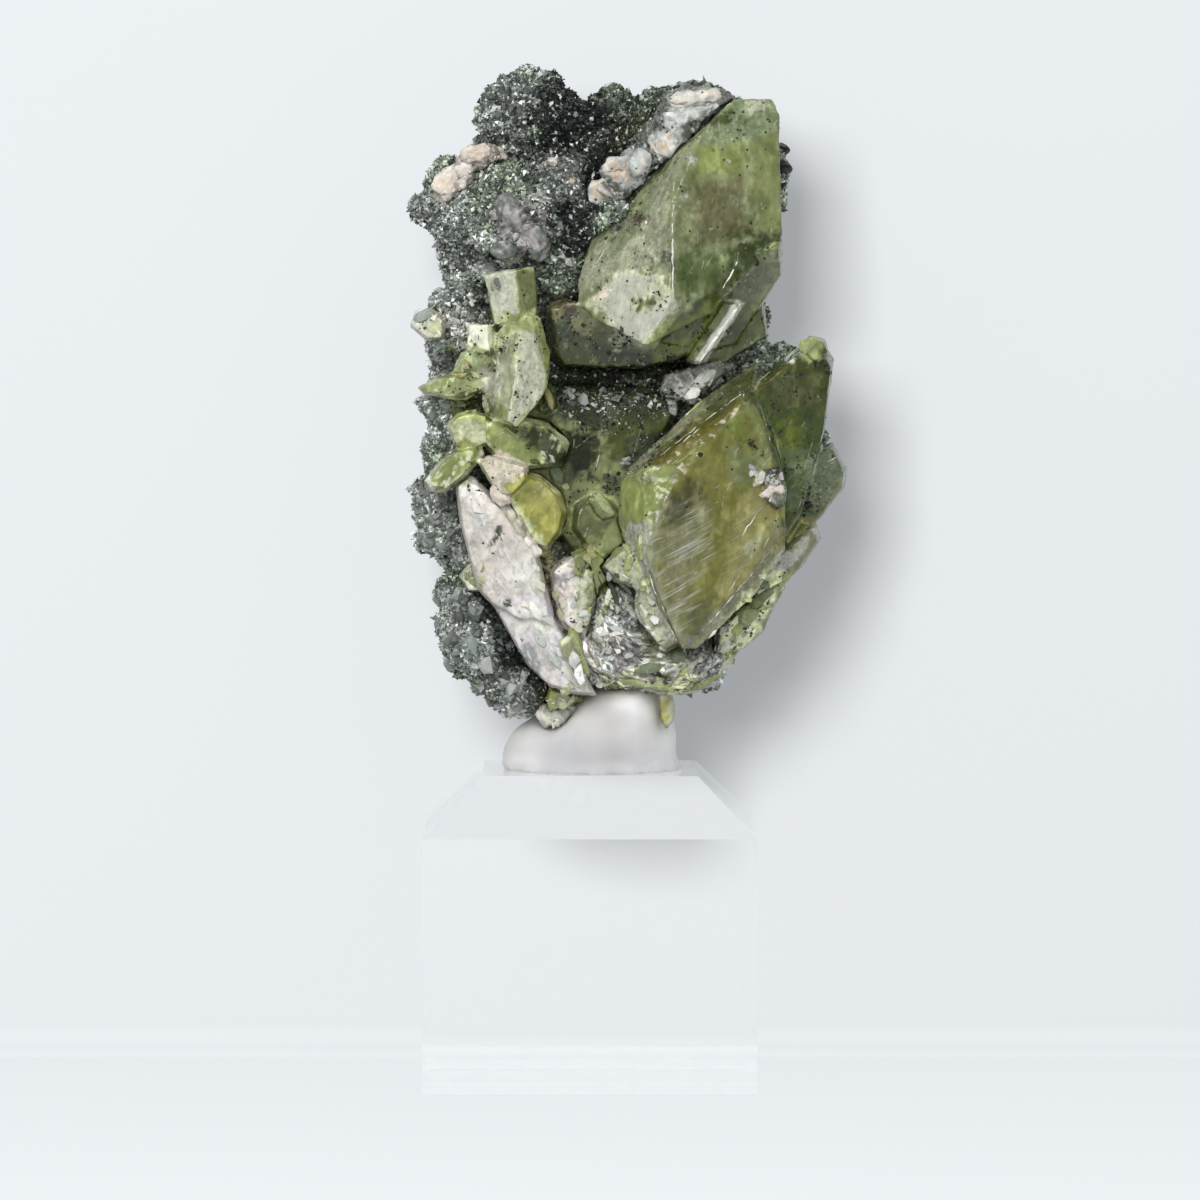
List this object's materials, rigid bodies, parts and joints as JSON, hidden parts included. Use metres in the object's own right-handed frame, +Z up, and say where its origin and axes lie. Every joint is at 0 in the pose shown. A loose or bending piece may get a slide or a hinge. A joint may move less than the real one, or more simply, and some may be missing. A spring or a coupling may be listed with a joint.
{
  "type": "mounted titanite crystal specimen",
  "caption": "Green titanite crystals and pale feldspar on chlorite-coated rock, held upright by white putty on a clear acrylic block with bevelled top edges.",
  "frame": {"origin": "centre of the clear block's underside", "axes": "+Z up, +X to the right of someone facing the specimen's front, which looks along -Y"},
  "size_m": [0.0434, 0.0351, 0.101],
  "materials": {
    "titanite": "translucent, vitreous green",
    "titanite_dark": "translucent, dark green",
    "titanite_pale": "satin, pale yellow-green",
    "quartz": "glassy, pale grey",
    "feldspar": "satin, white to pink",
    "chlorite_rock": "granular, with bright flakes",
    "putty": "matte white",
    "acrylic": "clear, polished"
  },
  "bodies": {
    "root": {"titanite_upper_right": "titanite", "titanite_lower_right": "titanite", "titanite_left_cluster": "titanite", "titanite_upper_left_cluster": "titanite_pale", "titanite_hanging_blade": "titanite_pale", "titanite_centre": "titanite_dark", "titanite_left_stub": "titanite_pale", "titanite_low_left_chip": "titanite_pale", "titanite_foot_bud": "titanite", "titanite_hanging_bud": "titanite", "quartz_bud": "quartz", "feldspar_prism": "feldspar", "feldspar_chunk": "feldspar", "feldspar_right_patch": "feldspar", "feldspar_gap_lumps": "feldspar", "feldspar_upper_seam": "feldspar", "feldspar_shoulder": "feldspar", "matrix": "chlorite_rock", "putty": "putty", "acrylic_block": "acrylic"}
  },
  "joints": []
}
